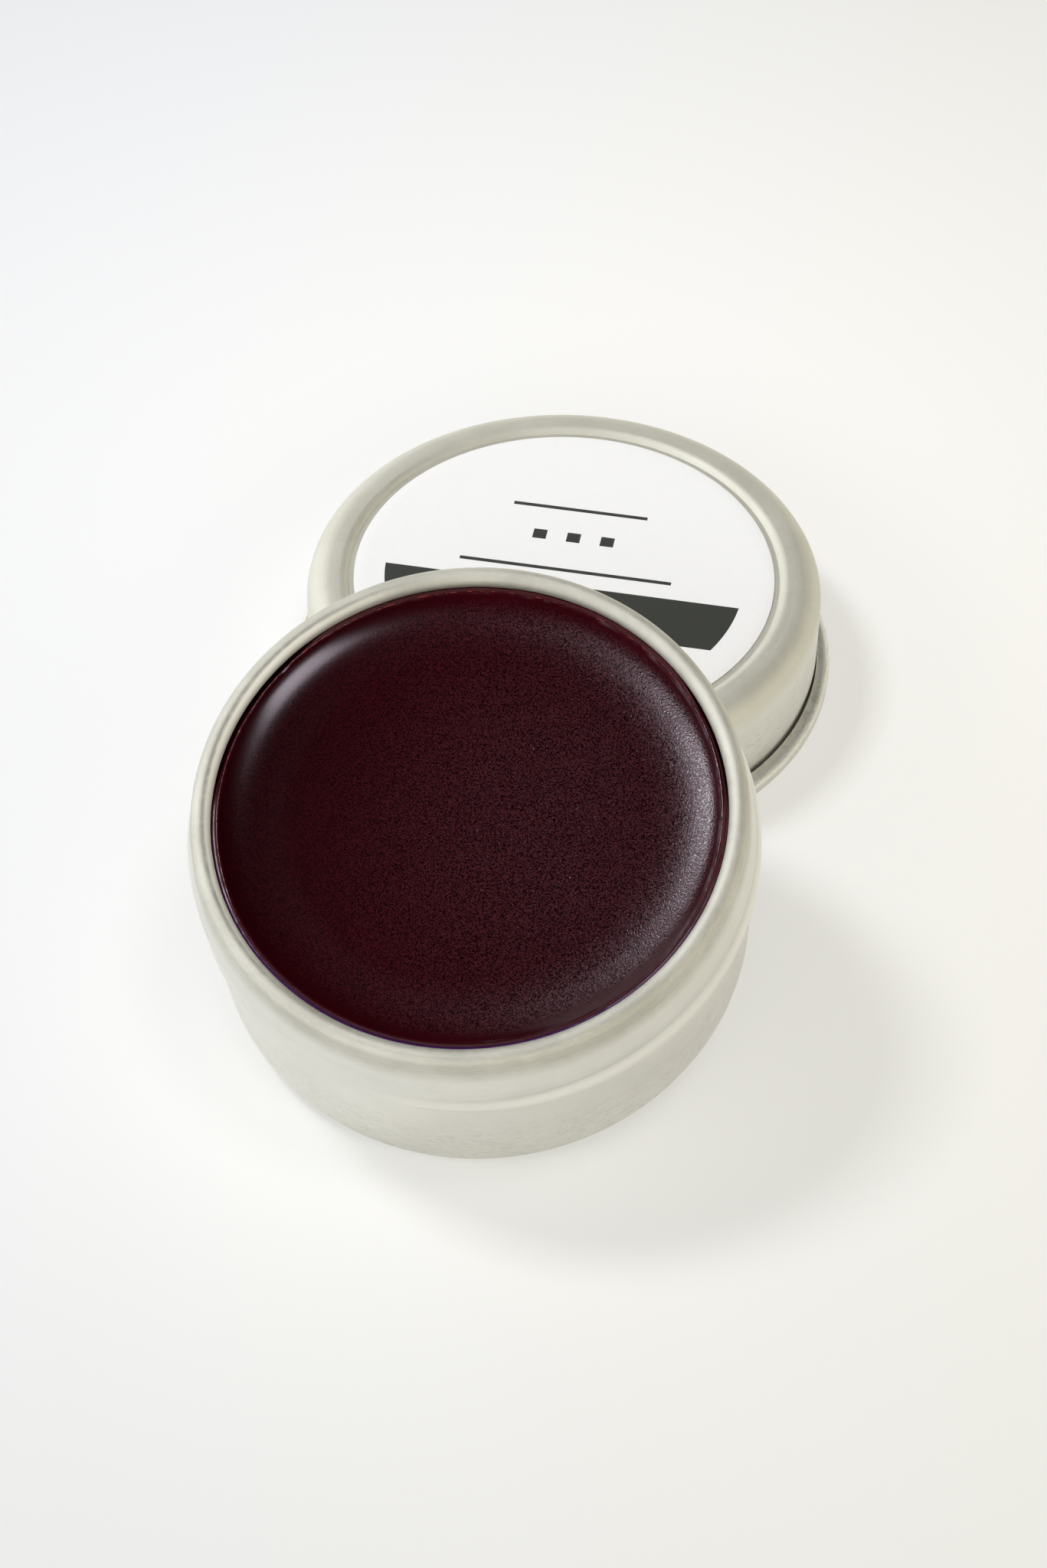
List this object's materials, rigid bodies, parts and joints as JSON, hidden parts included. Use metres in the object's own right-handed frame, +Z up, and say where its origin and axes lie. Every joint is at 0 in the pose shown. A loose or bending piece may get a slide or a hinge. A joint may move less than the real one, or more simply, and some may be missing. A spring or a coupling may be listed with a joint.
{
  "type": "shoe polish tin",
  "caption": "Round low screw-lid tin of dark solid shoe polish, open, leaning on its own lid, which lies flat with a blank round label on top.",
  "frame": {"origin": "middle of the footprint on the table, at table height", "axes": "+Z up, +Y from the open tin towards its lid, +X to the right seen from the tin's front"},
  "size_m": [0.071, 0.127, 0.0447],
  "materials": {
    "aluminium_sheet": "satin brushed",
    "polish_wax": "waxy satin",
    "foam_liner": "matt foam",
    "paper_label": "satin paper"
  },
  "bodies": {
    "tin": {"tin_body": "aluminium_sheet", "polish": "polish_wax"},
    "liner": {"lid_liner": "foam_liner"},
    "lid": {"lid_shell": "aluminium_sheet", "lid_label": "paper_label"}
  },
  "joints": [
    {"name": "lid_draw", "type": "slide", "parent": "tin", "child": "liner", "axis": [0, 1, 0], "range_m": [0, 0.06]},
    {"name": "lid_turn", "type": "hinge", "parent": "liner", "child": "lid", "pos_m": [0, 0.02808, 0], "axis": [0, 0, 1], "continuous": true}
  ]
}
